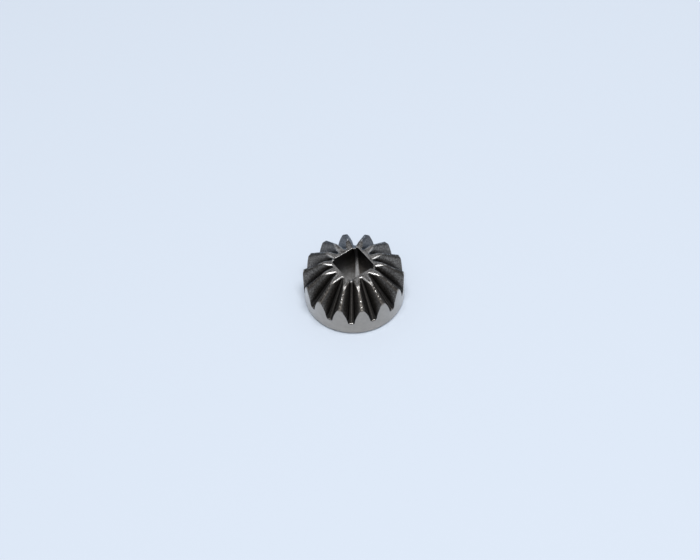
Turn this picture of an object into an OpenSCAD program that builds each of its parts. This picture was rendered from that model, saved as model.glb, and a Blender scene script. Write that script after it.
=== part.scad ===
// Straight bevel gear with a square hole through it. Sizes are in millimetres.
// The axis is +Z, the back face lies at z = 0, and all tooth surfaces run to one apex above the small end.

/* [Gear] */
// Number of teeth
teeth = 14; // [12:1:16]
// Number of teeth of the gear that it meshes with, on a shaft at right angles
mate_teeth = 12; // [10:1:16]
// Outside diameter of the plain rim
outside_d = 10; // [9.5:0.1:12]
// Height of the plain rim, from the back face to the tooth roots
rim_h = 1.56; // [1:0.02:2.4]
// Overall height, from the back face to the flat small end
overall_h = 4.9; // [4.4:0.1:5.2]
// Chamfer on the bottom edge of the rim
rim_chamfer = 0.22; // [0.05:0.01:0.4]

/* [Teeth] */
// Pressure angle, in degrees
pressure_angle = 25; // [20:0.5:27]
// Height of the teeth above the pitch cone at the rim, in modules
addendum_factor = 0.9; // [0.8:0.05:1.05]
// Depth of the teeth below the pitch cone at the rim, in modules
dedendum_factor = 1.1; // [1:0.05:1.25]
// Radius of the fillets along the tooth roots, at the rim
root_r = 0.2; // [0.05:0.01:0.22]
// Radius of the rounded edges along the tooth tips, at the rim
tip_r = 0.3; // [0.05:0.01:0.34]
// Radius of the rounding where the tooth tips run into the small end
toe_r = 1.2; // [0.4:0.1:1.6]
// Radius of the rounding where the tooth tips meet the rim
heel_r = 0.3; // [0.05:0.05:0.5]

/* [Square hole] */
// Width across the flats of the square shaft that the gear sits on
shaft_w = 3; // [2:0.05:3.1]
// Clearance between the shaft and the hole, across the flats
shaft_clearance = 0.1; // [0.02:0.01:0.2]
// Radius of the corners of the hole
hole_corner_r = 0.35; // [0.1:0.05:0.6]

/* [Hidden] */
steel = [0.56, 0.56, 0.57];

// Flat steps along one tooth flank, and along each small rounding
flank_steps = 8;
round_steps = 4;
// How far a cut runs past the surface that it leaves through
overrun = 1;

// Cones of the gear, as half angles from the axis
rim_r = outside_d / 2;
heel_module = outside_d / teeth;
pitch_angle = atan2(teeth, mate_teeth);
cone_distance = rim_r / sin(pitch_angle);
addendum = addendum_factor * heel_module;
dedendum = dedendum_factor * heel_module;
face_angle = pitch_angle + atan(addendum / cone_distance);
root_angle = pitch_angle - atan(dedendum / cone_distance);
apex_h = rim_h + rim_r / tan(root_angle);
tip_h = apex_h - rim_r / tan(face_angle);
toe_tip_r = (apex_h - overall_h) * tan(face_angle);

// Spur gear that the back cone unrolls to: the tooth form is drawn there and carried back to the cone
pitch_rho = rim_r / cos(pitch_angle);
base_rho = pitch_rho * cos(pressure_angle);
root_rho = pitch_rho - dedendum;
tip_rho = pitch_rho + addendum;
half_pitch = 180 * cos(pitch_angle) / teeth;

hole_w = shaft_w + shaft_clearance;

// Involute function, in degrees
function involute(a) = tan(a) * 180 / PI - a;

// Pressure angle of the flank at radius rho. Below the base circle the flank is radial.
function flank_pressure(rho) = rho > base_rho ? acos(base_rho / rho) : 0;

// Half the angle of a tooth space at radius rho. At the pitch circle, tooth and space are equally wide.
function space_half(rho) = half_pitch / 2 - involute(pressure_angle) + involute(flank_pressure(rho));

// Point at radius rho and at an angle from the middle of the space
function polar(rho, angle) = rho * [sin(angle), cos(angle)];

// Point on the flank at radius rho, and the direction up the flank there
function flank_point(rho) = polar(rho, space_half(rho));
function flank_up(rho) = polar(1, space_half(rho) + flank_pressure(rho));

// Direction along the circle at radius rho, away from the middle of the space
function sideways(rho) = polar(1, space_half(rho) + 90);

// Corner between the root and the flank, with the flank taken as straight in its direction beside the fillet
function root_corner() =
    let (rho = root_rho + root_r)
    flank_point(rho) - flank_up(rho) * root_r / cos(flank_pressure(rho));

// Arc of radius r that rounds a corner, from the side that leaves along a to the side that leaves along b
function round_corner(corner, a, b, r, steps = round_steps) =
    let (half = acos(a * b) / 2)
    let (centre = corner + (a + b) / norm(a + b) * r / sin(half))
    let (spoke = corner + a * r / tan(half) - centre)
    let (start = atan2(spoke.y, spoke.x))
    let (sweep = -sign(cross(a, b)) * (180 - 2 * half))
    [for (i = [0 : steps]) centre + r * [cos(start + sweep * i / steps), sin(start + sweep * i / steps)]];

// One side of a tooth space, from the root to above the tip: root fillet, involute flank, rounded tip edge.
// The last facet of the tip edge runs on over half of the flat that is left, which brings it clear of the tip.
function space_side() =
    let (fillet = round_corner(root_corner(), -sideways(root_rho), flank_up(root_rho + root_r), root_r))
    let (edge = round_corner(flank_point(tip_rho), -flank_up(tip_rho), sideways(tip_rho), tip_r))
    let (low = norm(fillet[round_steps]), high = norm(edge[0]))
    let (flank = [for (i = [1 : flank_steps - 1]) flank_point(low + (high - low) * i / flank_steps)])
    let (end = edge[round_steps], facet = end - edge[round_steps - 1])
    let (land = norm(end) * sin(half_pitch - atan2(end.x, end.y)))
    let (run_out = end + facet / norm(facet) * land / 2)
    let (above = run_out * (tip_rho + overrun) / tip_rho)
    concat(fillet, flank, [for (i = [0 : round_steps - 1]) edge[i]], [run_out, above]);

// Closed outline of a tooth space, symmetrical about its middle
function space_outline() =
    let (side = space_side())
    let (count = len(side))
    concat(side, [for (i = [1 : count]) [-side[count - i].x, side[count - i].y]]);

// Direction from the apex to the place on the back cone where a point of the unrolled outline lies
function cone_ray(p) =
    let (rho = norm(p), turn = atan2(p.x, p.y) / cos(pitch_angle))
    [
        rho * cos(pitch_angle) * cos(turn),
        rho * cos(pitch_angle) * sin(turn),
        rho * sin(pitch_angle) - cone_distance / cos(pitch_angle)
    ];

// The same point carried along that direction to a flat end, square to the pitch cone and outside the rim
function cut_point(p) =
    let (ray = cone_ray(p), middle = [sin(pitch_angle), 0, -cos(pitch_angle)])
    ray * (rim_r / sin(root_angle) + overrun) / (ray * middle);

// Pyramid of one tooth space, from the apex to past the rim
module tooth_space() {
    ends = [for (p = space_outline()) cut_point(p)];
    count = len(ends);
    sides = [for (i = [1 : count]) [0, i, i % count + 1]];
    end_face = [for (i = [0 : count - 1]) count - i];
    translate([0, 0, apex_h])
        polyhedron(points = concat([[0, 0, 0]], ends), faces = concat(sides, [end_face]));
}

// Turned blank: chamfered rim, cone over the tooth tips, rounded at both ends, flat small end
module blank() {
    down_cone = [sin(face_angle), -cos(face_angle)];
    heel = round_corner([rim_r, tip_h], [0, -1], -down_cone, heel_r);
    toe = round_corner([toe_tip_r, overall_h], down_cone, [-1, 0], toe_r);
    outline = concat(
        [[0, 0], [rim_r - rim_chamfer, 0], [rim_r, rim_chamfer]],
        heel,
        toe,
        [[0, overall_h]]
    );
    rotate_extrude($fn = 180)
        polygon(outline);
}

// Square with rounded corners
module rounded_square(w, r) {
    flat = w - 2 * r;
    square([w, flat], center = true);
    square([flat, w], center = true);
    for (x = [-1, 1], y = [-1, 1])
        translate([x, y] * flat / 2)
            circle(r, $fn = 48);
}

// Gear: blank less the tooth spaces, one of them on +X, and less the square hole with its flats along X and Y
module bevel_gear() {
    color(steel)
        difference() {
            blank();
            for (i = [0 : teeth - 1])
                rotate(i * 360 / teeth)
                    tooth_space();
            translate([0, 0, -overrun])
                linear_extrude(overall_h + 2 * overrun)
                    rounded_square(hole_w, hole_corner_r);
        }
}

bevel_gear();
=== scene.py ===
"""Small straight bevel gear with a square hole: its visual model, its steel finishes and a plain studio.

Sizes in the classes are in millimetres and the finished meshes are in metres. The gear's axis is +Z, its back
face lies at z = 0, and a tooth space is centred on +X.
"""

import logging
import math
from dataclasses import dataclass, field
from enum import Enum
from functools import cached_property
from typing import Callable, Sequence

import bmesh
import bpy
from bmesh.types import BMEdge, BMesh, BMFace, BMVert
from mathutils import Matrix, Vector, noise


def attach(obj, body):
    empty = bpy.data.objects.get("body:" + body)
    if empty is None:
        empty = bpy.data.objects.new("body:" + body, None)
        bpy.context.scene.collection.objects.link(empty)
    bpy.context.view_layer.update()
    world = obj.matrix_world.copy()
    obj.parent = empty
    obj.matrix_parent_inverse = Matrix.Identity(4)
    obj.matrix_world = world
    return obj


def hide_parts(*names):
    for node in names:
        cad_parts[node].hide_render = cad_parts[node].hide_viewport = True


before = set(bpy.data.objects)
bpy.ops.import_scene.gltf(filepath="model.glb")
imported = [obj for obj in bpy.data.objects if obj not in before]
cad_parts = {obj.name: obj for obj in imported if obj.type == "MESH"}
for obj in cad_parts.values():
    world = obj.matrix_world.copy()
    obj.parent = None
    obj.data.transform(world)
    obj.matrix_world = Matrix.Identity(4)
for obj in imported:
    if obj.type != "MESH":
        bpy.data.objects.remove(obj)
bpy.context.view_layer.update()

LOG = logging.getLogger("bevel_gear")
MM = 0.001
COLUMN = "column"
# Name of the vertex attribute that carries edge wear and painted highlights.
WEAR_AND_HIGHLIGHT = "wear_and_highlight"
# Name of the vertex attribute that carries painted shade.
PAINTED_SHADE = "painted_shade"

Colour = tuple[float, float, float]
Place = tuple[float, float, float]
Ring = list[Vector]
Socket = bpy.types.NodeSocket


class Zone(Enum):
    """Stretch of the tooth outline that a column of the mesh belongs to."""

    FLOOR = "floor"
    ROOT = "root"
    FLANK = "flank"
    TIP = "tip"
    LAND = "land"


class Finish(Enum):
    """Surface finish of a band of faces, with its material slot."""

    TURNED = 0
    TOOTH = 1
    END = 2
    HOLE = 3


ByZone = dict[Zone, float]


def by_zone(floor: float, root: float, flank: float, tip: float, land: float) -> ByZone:
    """Gives each stretch of the tooth outline its value."""
    return dict(zip(Zone, (floor, root, flank, tip, land)))


def polar(length: float, angle: float) -> Vector:
    """Gives the flat vector of a length at an angle from +Y, clockwise."""
    return Vector((length * math.sin(angle), length * math.cos(angle)))


def around(radius: float, turn: float, height: float) -> Vector:
    """Gives the point at a radius, a turn round the axis and a height."""
    return Vector((radius * math.cos(turn), radius * math.sin(turn), height))


def radius_of(point: Vector) -> float:
    """Gives a point's distance from the axis."""
    return math.hypot(point.x, point.y)


def turn_of(point: Vector) -> float:
    """Gives a point's turn round the axis."""
    return math.atan2(point.y, point.x)


def ease(value: float) -> float:
    """Clamps a value to 0 to 1 and eases it in and out."""
    value = min(1.0, max(0.0, value))
    return value * value * (3.0 - 2.0 * value)


def curve_point(start: Vector, corner: Vector, end: Vector, share: float) -> Vector:
    """Gives a point of the rounding that replaces a corner.

    Args:
        start: Where the rounding leaves the first side.
        corner: The sharp corner.
        end: Where the rounding meets the second side.
        share: Place along the rounding, from 0 to 1.

    Returns:
        The point at that place.
    """
    rest = 1.0 - share
    return start * rest * rest + corner * 2.0 * rest * share + end * share * share


def round_corner(corner: Vector, a: Vector, b: Vector, radius: float, steps: int) -> list[Vector]:
    """Rounds the corner between two straight sides with an arc.

    Args:
        corner: The corner, in the plane of the outline.
        a: Direction of the first side, away from the corner.
        b: Direction of the second side, away from the corner.
        radius: Radius of the arc.
        steps: Number of straight steps along the arc.

    Returns:
        The points of the arc, from the first side to the second.
    """
    half = math.acos(max(-1.0, min(1.0, a.dot(b)))) / 2.0
    centre = corner + (a + b).normalized() * (radius / math.sin(half))
    spoke = corner + a * (radius / math.tan(half)) - centre
    begin = math.atan2(spoke.y, spoke.x)
    side = -1.0 if a.x * b.y - a.y * b.x > 0.0 else 1.0
    sweep = side * (math.pi - 2.0 * half)
    angles = [begin + sweep * i / steps for i in range(steps + 1)]
    return [centre + Vector((math.cos(t), math.sin(t))) * radius for t in angles]


@dataclass(frozen=True)
class Column:
    """One radial plane of the gear, with the line in it that runs along the tooth surface to the apex.

    Attributes:
        turn: Turn of the plane round the axis.
        slope: Angle between the line and the axis.
        zone: Stretch of the tooth outline that the line belongs to.
    """

    turn: float
    slope: float
    zone: Zone


@dataclass(frozen=True)
class ToothForm:
    """Involute tooth form, drawn on the unrolled back cone.

    Attributes:
        teeth: Number of teeth.
        mate_teeth: Number of teeth of the gear that it meshes with.
        rim_r: Radius of the rim.
        pressure: Pressure angle.
        addendum_factor: Height of the teeth above the pitch cone at the rim, in modules.
        dedendum_factor: Depth of the teeth below the pitch cone at the rim, in modules.
        root_r: Radius of the root fillets at the rim.
        tip_r: Radius of the rounded tip edges at the rim.
        floor_steps: Columns across half the floor of a root.
        bed_steps: How many of them lie in the lighter middle of the floor.
        root_steps: Steps round a root fillet.
        flank_steps: Steps up a flank.
        tip_steps: Steps round a tip edge.
        land_steps: Steps across half the top of a tooth.
    """

    teeth: int = 14
    mate_teeth: int = 12
    rim_r: float = 5.0
    pressure: float = math.radians(25.0)
    addendum_factor: float = 0.9
    dedendum_factor: float = 1.1
    root_r: float = 0.2
    tip_r: float = 0.3
    floor_steps: int = 5
    bed_steps: int = 2
    root_steps: int = 6
    flank_steps: int = 12
    tip_steps: int = 5
    land_steps: int = 2

    @cached_property
    def pitch_angle(self) -> float:
        """Half angle of the pitch cone."""
        return math.atan2(self.teeth, self.mate_teeth)

    @cached_property
    def cone_distance(self) -> float:
        """Distance from the apex to the pitch circle at the rim."""
        return self.rim_r / math.sin(self.pitch_angle)

    @cached_property
    def module(self) -> float:
        """Module at the rim."""
        return 2.0 * self.rim_r / self.teeth

    @cached_property
    def face_angle(self) -> float:
        """Half angle of the cone over the tooth tips."""
        return self.pitch_angle + math.atan(self.addendum_factor * self.module / self.cone_distance)

    @cached_property
    def root_angle(self) -> float:
        """Half angle of the cone under the tooth roots."""
        return self.pitch_angle - math.atan(self.dedendum_factor * self.module / self.cone_distance)

    @cached_property
    def pitch_rho(self) -> float:
        """Pitch radius of the unrolled gear."""
        return self.rim_r / math.cos(self.pitch_angle)

    @cached_property
    def base_rho(self) -> float:
        """Base radius of the unrolled gear."""
        return self.pitch_rho * math.cos(self.pressure)

    @cached_property
    def root_rho(self) -> float:
        """Root radius of the unrolled gear."""
        return self.pitch_rho - self.dedendum_factor * self.module

    @cached_property
    def tip_rho(self) -> float:
        """Tip radius of the unrolled gear."""
        return self.pitch_rho + self.addendum_factor * self.module

    @cached_property
    def half_pitch(self) -> float:
        """Angle from the middle of a space to the middle of a tooth, unrolled."""
        return math.pi * math.cos(self.pitch_angle) / self.teeth

    def flank_pressure(self, rho: float) -> float:
        """Gives the pressure angle of the flank at a radius."""
        return math.acos(self.base_rho / rho) if rho > self.base_rho else 0.0

    def space_half(self, rho: float) -> float:
        """Measures a tooth space, which is as wide as a tooth at the pitch circle.

        Args:
            rho: Radius on the unrolled gear.

        Returns:
            Half the angle of the space.
        """
        local = self.flank_pressure(rho)
        involute = math.tan(local) - local
        at_pitch = math.tan(self.pressure) - self.pressure
        return self.half_pitch / 2.0 - at_pitch + involute

    def flank_point(self, rho: float) -> Vector:
        """Gives the point of the flank at a radius."""
        return polar(rho, self.space_half(rho))

    def flank_up(self, rho: float) -> Vector:
        """Gives the direction up the flank at a radius."""
        return polar(1.0, self.space_half(rho) + self.flank_pressure(rho))

    def sideways(self, rho: float) -> Vector:
        """Gives the direction along the circle at a radius, away from the middle of the space."""
        return polar(1.0, self.space_half(rho) + math.pi / 2.0)

    def root_arc(self) -> list[Vector]:
        """Draws the fillet between the root and the flank.

        Returns:
            Points from the root to the flank.
        """
        beside = self.root_rho + self.root_r
        up = self.flank_up(beside)
        corner = self.flank_point(beside) - up * (self.root_r / math.cos(self.flank_pressure(beside)))
        return round_corner(corner, -self.sideways(self.root_rho), up, self.root_r, self.root_steps)

    def tip_arc(self) -> list[Vector]:
        """Draws the rounding between the flank and the tip.

        Returns:
            Points from the flank to the tip.
        """
        corner = self.flank_point(self.tip_rho)
        down = -self.flank_up(self.tip_rho)
        return round_corner(corner, down, self.sideways(self.tip_rho), self.tip_r, self.tip_steps)

    def space_side(self) -> list[tuple[Vector, Zone]]:
        """Draws one side of a tooth space.

        Returns:
            Points from the middle of the space to the middle of the tooth, each with its zone.
        """
        root, tip = self.root_arc(), self.tip_arc()
        side = []
        for i in range(self.floor_steps):
            zone = Zone.FLOOR if i < self.bed_steps else Zone.ROOT
            side.append((Vector((root[0].x * i / self.floor_steps, root[0].y)), zone))
        side += [(point, Zone.ROOT) for point in root]
        low, high = root[-1].length, tip[0].length
        for i in range(1, self.flank_steps):
            side.append((self.flank_point(low + (high - low) * i / self.flank_steps), Zone.FLANK))
        side += [(point, Zone.TIP) for point in tip]
        end = math.atan2(tip[-1].x, tip[-1].y)
        for i in range(1, self.land_steps + 1):
            angle = end + (self.half_pitch - end) * i / self.land_steps
            side.append((polar(self.tip_rho, angle), Zone.LAND))
        return side

    def column_at(self, point: Vector, zone: Zone) -> Column:
        """Carries a point of the unrolled outline to the back cone.

        Args:
            point: Point of the outline.
            zone: Stretch of the outline that it belongs to.

        Returns:
            The column that the point gives.
        """
        rho = min(point.length, self.tip_rho)
        cone = self.pitch_angle
        down = self.cone_distance / math.cos(cone) - rho * math.sin(cone)
        turn = math.atan2(point.x, point.y) / math.cos(cone)
        return Column(turn, math.atan2(rho * math.cos(cone), down), zone)

    def columns(self) -> list[Column]:
        """Repeats the columns of one tooth space round the gear.

        Returns:
            All columns, in order round the axis.
        """
        right = [self.column_at(point, zone) for point, zone in self.space_side()]
        left = [Column(-c.turn, c.slope, c.zone) for c in reversed(right[1:-1])]
        step = 2.0 * math.pi / self.teeth
        return [Column(c.turn + step * k, c.slope, c.zone) for k in range(self.teeth) for c in left + right]


@dataclass(frozen=True)
class Blank:
    """Turned blank of the gear: rim, cone over the tooth tips with rounded ends, flat small end.

    Attributes:
        tooth: Form of the teeth.
        rim_h: Height of the rim, up to the tooth roots.
        overall_h: Height of the small end.
        heel_r: Radius of the rounding where the tooth tips meet the rim.
        toe_r: Radius of the rounding where the tooth tips run into the small end.
    """

    tooth: ToothForm
    rim_h: float = 1.56
    overall_h: float = 4.9
    heel_r: float = 0.3
    toe_r: float = 1.2

    @cached_property
    def apex_h(self) -> float:
        """Height of the apex that all tooth surfaces run to."""
        return self.rim_h + self.tooth.rim_r / math.tan(self.tooth.root_angle)

    @cached_property
    def heel_centre(self) -> Vector:
        """Finds the centre of the rounding where the tooth tips meet the rim.

        Returns:
            The centre, as radius and height.
        """
        tip_h = self.apex_h - self.tooth.rim_r / math.tan(self.tooth.face_angle)
        reach = self.heel_r * math.tan(self.tooth.face_angle / 2.0)
        return Vector((self.tooth.rim_r - self.heel_r, tip_h - reach))

    @cached_property
    def toe_centre(self) -> Vector:
        """Finds the centre of the rounding where the tooth tips run into the small end.

        Returns:
            The centre, as radius and height.
        """
        tip_r = (self.apex_h - self.overall_h) * math.tan(self.tooth.face_angle)
        reach = self.toe_r / math.tan(math.pi / 4.0 + self.tooth.face_angle / 2.0)
        return Vector((tip_r - reach, self.overall_h - self.toe_r))

    def _meet_arc(self, slope: float, centre: Vector, radius: float, side: float) -> Vector:
        """Finds where a line from the apex meets a rounding.

        Args:
            slope: Angle between the line and the axis.
            centre: Centre of the rounding, as radius and height.
            radius: Radius of the rounding.
            side: 1 for the far meeting place, -1 for the near one.

        Returns:
            The place, as radius and height.
        """
        along = Vector((math.sin(slope), -math.cos(slope)))
        to_centre = centre - Vector((0.0, self.apex_h))
        middle = along.dot(to_centre)
        half = math.sqrt(max(0.0, middle * middle - to_centre.length_squared + radius * radius))
        return Vector((0.0, self.apex_h)) + along * (middle + side * half)

    def heel(self, slope: float) -> Vector:
        """Finds where a line from the apex leaves the blank at the rim.

        Args:
            slope: Angle between the line and the axis.

        Returns:
            The place, as radius and height.
        """
        height = self.apex_h - self.tooth.rim_r / math.tan(slope)
        if height <= self.heel_centre.y:
            return Vector((self.tooth.rim_r, height))
        return self._meet_arc(slope, self.heel_centre, self.heel_r, 1.0)

    def toe(self, slope: float) -> Vector:
        """Finds where a line from the apex enters the blank at the small end.

        Args:
            slope: Angle between the line and the axis.

        Returns:
            The place, as radius and height.
        """
        radius = (self.apex_h - self.overall_h) * math.tan(slope)
        if radius <= self.toe_centre.x:
            return Vector((radius, self.overall_h))
        return self._meet_arc(slope, self.toe_centre, self.toe_r, -1.0)

    def rim_radius(self, height: float) -> float:
        """Measures the rim and the rounding above it.

        Args:
            height: Height above the back face.

        Returns:
            The radius at that height.
        """
        over = height - self.heel_centre.y
        if over <= 0.0:
            return self.tooth.rim_r
        return self.heel_centre.x + math.sqrt(max(0.0, self.heel_r**2 - over**2))

    def cap_height(self, radius: float) -> float:
        """Measures the small end, its rounding and the cone outside it.

        Args:
            radius: Distance from the axis.

        Returns:
            The height at that radius.
        """
        over = radius - self.toe_centre.x
        if over <= 0.0:
            return self.overall_h
        if over <= self.toe_r * math.cos(self.tooth.face_angle):
            return self.toe_centre.y + math.sqrt(self.toe_r**2 - over**2)
        return self.apex_h - radius / math.tan(self.tooth.face_angle)

    def heel_normal(self, point: Vector) -> Vector:
        """Gives the outward direction of the rim and its rounding at a point."""
        lift = max(0.0, point.z - self.heel_centre.y) / self.heel_r
        return around(math.sqrt(max(0.0, 1.0 - lift * lift)), turn_of(point), lift)

    def cap_normal(self, point: Vector) -> Vector:
        """Gives the outward direction of the small end and its rounding at a point."""
        lean = min(1.0, max(0.0, radius_of(point) - self.toe_centre.x) / self.toe_r)
        return around(lean, turn_of(point), math.sqrt(1.0 - lean * lean))


@dataclass(frozen=True)
class SquareHole:
    """Square hole with rounded corners and broken edges.

    Attributes:
        width: Width across the flats.
        corner_r: Radius of the corners.
        edge: Width of the broken edges.
        highlight_start: Distance from the axis from which the wall carries a painted highlight, in half
            widths.
        highlight_spread: How much nearer to the axis that starts at the foot of the wall.
        highlight_range: Distance over which the painted highlight sets in, in half widths.
        highlight_depth: Share of the depth at which it is full.
        dark_depth: Share of the depth down to which the wall is fully darkened by painted shade.
        dark_fade: Share of the depth over which the painted shade fades.
    """

    width: float = 3.1
    corner_r: float = 0.35
    edge: float = 0.05
    highlight_start: float = 1.3
    highlight_spread: float = 0.05
    highlight_range: float = 0.03
    highlight_depth: float = 0.8
    dark_depth: float = 0.26
    dark_fade: float = 0.58

    def radius(self, turn: float, grow: float = 0.0) -> float:
        """Measures the hole from the axis.

        Args:
            turn: Direction round the axis.
            grow: How much larger the hole is taken on each side.

        Returns:
            The distance from the axis to the hole's wall.
        """
        quarter = math.pi / 2.0
        angle = abs((turn + quarter / 2.0) % quarter - quarter / 2.0)
        half, corner = self.width / 2.0 + grow, self.corner_r + grow
        inner = half - corner
        if half * math.tan(angle) <= inner:
            return half / math.cos(angle)
        along = inner * (math.cos(angle) + math.sin(angle))
        across = inner * (math.cos(angle) - math.sin(angle))
        return along + math.sqrt(corner * corner - across * across)

    def rubbed(self, turn: float, depth: float) -> float:
        """Gives the painted highlight on the wall, a painted reflection of the lit floor, brightest in the
        corners, low down most.

        Args:
            turn: Direction round the axis.
            depth: Place down the wall, as a share of its depth.

        Returns:
            The painted highlight, from 0 to 1.
        """
        start = self.highlight_start - self.highlight_spread * depth
        share = ease((self.radius(turn) / (self.width / 2.0) - start) / self.highlight_range)
        return share * ease(depth / self.highlight_depth)

    def darkened(self, depth: float) -> float:
        """Gives how far the wall is darkened by painted shade at a share of its depth."""
        return 1.0 - ease((depth - self.dark_depth) / self.dark_fade)


@dataclass
class Loop:
    """One closed loop of the gear's mesh, and the band of faces that leads to it.

    Attributes:
        points: Places of the loop's vertices, one a column.
        finish: Finish of the band between the loop before and this one.
        wear_and_highlight: How far each vertex is made bright by wear and by painted highlight, one a column
            or one for all.
        painted_shade: How far each vertex is darkened by painted shade, one a column or one for all.
    """

    points: Ring
    finish: Finish
    wear_and_highlight: float | Sequence[float] = 0.0
    painted_shade: float | Sequence[float] = 0.0

    def wear_and_highlight_at(self, column: int) -> float:
        """Gives the wear and painted highlight of one vertex."""
        return self.wear_and_highlight if isinstance(self.wear_and_highlight, float) else self.wear_and_highlight[column]

    def painted_shade_at(self, column: int) -> float:
        """Gives the painted shade of one vertex."""
        return self.painted_shade if isinstance(self.painted_shade, float) else self.painted_shade[column]


@dataclass(frozen=True)
class RootLip:
    """Low lip that the die leaves across the end of each tooth root, at the rim.

    Attributes:
        height: How far the lip stands up from the root.
        flat: Length of its top, from the rim.
        ramp: Length of the slope behind it.
        climb: How far up the root fillet it has faded out.
        ramp_highlight: How strong the painted highlight on the slope is.
    """

    height: float = 0.022
    flat: float = 0.07
    ramp: float = 0.08
    climb: float = 0.02
    ramp_highlight: float = 3.0

    def along(self, distance: float) -> float:
        """Gives the lip's height at a distance from the rim, as a share of its full height."""
        return 1.0 - ease((distance - self.flat) / self.ramp)

    def across(self, rise: float) -> float:
        """Gives the lip's height where the root has risen so far, as a share of its full height."""
        return 1.0 - ease(rise / self.climb)

    def rubbed(self, distance: float) -> float:
        """Gives the painted highlight on the lip at a distance from the rim: most half way down its slope."""
        share = self.along(distance)
        return share * (1.0 - share) * self.ramp_highlight


@dataclass(frozen=True)
class Dents:
    """Small dents along the tooth crests, and a faint unevenness of the rest of the teeth.

    Attributes:
        size: Size of a dent.
        depth: Depth of the dents in each zone.
        slope: How far past its top each raised place carries its painted highlight, toward the small end.
        highlight_from: Unevenness from which a place is rubbed bright and carries a painted highlight.
        highlight_range: Range of unevenness over which the rubbing and the painted highlight set in.
        streak: How far the painted shade differs from column to column.
        streak_step: Step from column to column in the noise that the streaks follow.
        streak_line: Where the line of the columns lies in that noise.
    """

    size: float = 0.15
    depth: ByZone = field(default_factory=lambda: by_zone(0.002, 0.002, 0.003, 0.014, 0.022))
    slope: float = 0.035
    highlight_from: float = 0.1
    highlight_range: float = 0.12
    streak: float = 0.25
    streak_step: float = 0.63
    streak_line: tuple[float, float] = (7.3, 1.9)

    def swell(self, point: Vector) -> float:
        """Gives the unevenness at a place, from about -1 to 1."""
        return noise.noise(point / self.size)

    def rubbed(self, point: Vector) -> float:
        """Gives how far a place is rubbed bright and carries a painted highlight, from 0 to 1."""
        return ease((self.swell(point) - self.highlight_from) / self.highlight_range)

    def streak_at(self, column: int) -> float:
        """Gives how much darker a column is than the others."""
        return self.streak * noise.noise(Vector((column * self.streak_step, *self.streak_line)))


@dataclass
class ToothSurface:
    """Surface of all teeth, made of one straight line a column from the rim to the small end.

    Attributes:
        columns: Columns of the mesh.
        foot: Where the lines meet the rim.
        toe: Where the lines meet the small end.
        lifts: Height of the lip at the rim, one a column.
        lip: Lip at the rim.
        dents: Unevenness.
    """

    columns: list[Column]
    foot: Ring
    toe: Ring
    lifts: list[float]
    lip: RootLip
    dents: Dents

    @cached_property
    def up(self) -> Ring:
        """Directions of the lines, toward the small end."""
        return [(b - a).normalized() for a, b in zip(self.foot, self.toe)]

    @cached_property
    def out(self) -> Ring:
        """Finds the directions square to the surface at the rim.

        Returns:
            One direction a column, out of the gear.
        """
        count = len(self.foot)
        spans = [self.foot[(i + 1) % count] - self.foot[i - 1] for i in range(count)]
        return [span.cross(line).normalized() for span, line in zip(spans, self.up)]

    def at(self, distances: Sequence[float]) -> Ring:
        """Finds a loop of the surface, with the lip but without dents.

        Args:
            distances: Distance from the rim along each line.

        Returns:
            The loop.
        """
        ring = []
        for i, distance in enumerate(distances):
            lift = self.lifts[i] * self.lip.along(distance)
            ring.append(self.foot[i] + self.up[i] * distance + self.out[i] * lift)
        return ring

    def dented(self, ring: Ring, share: float) -> Ring:
        """Dents a loop of the surface.

        Args:
            ring: The even loop.
            share: How deep the dents are here, of their full depth.

        Returns:
            The dented loop.
        """
        depths = [self.dents.depth[c.zone] * share for c in self.columns]
        return [p + out * depth * self.dents.swell(p) for p, out, depth in zip(ring, self.out, depths)]


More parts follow.
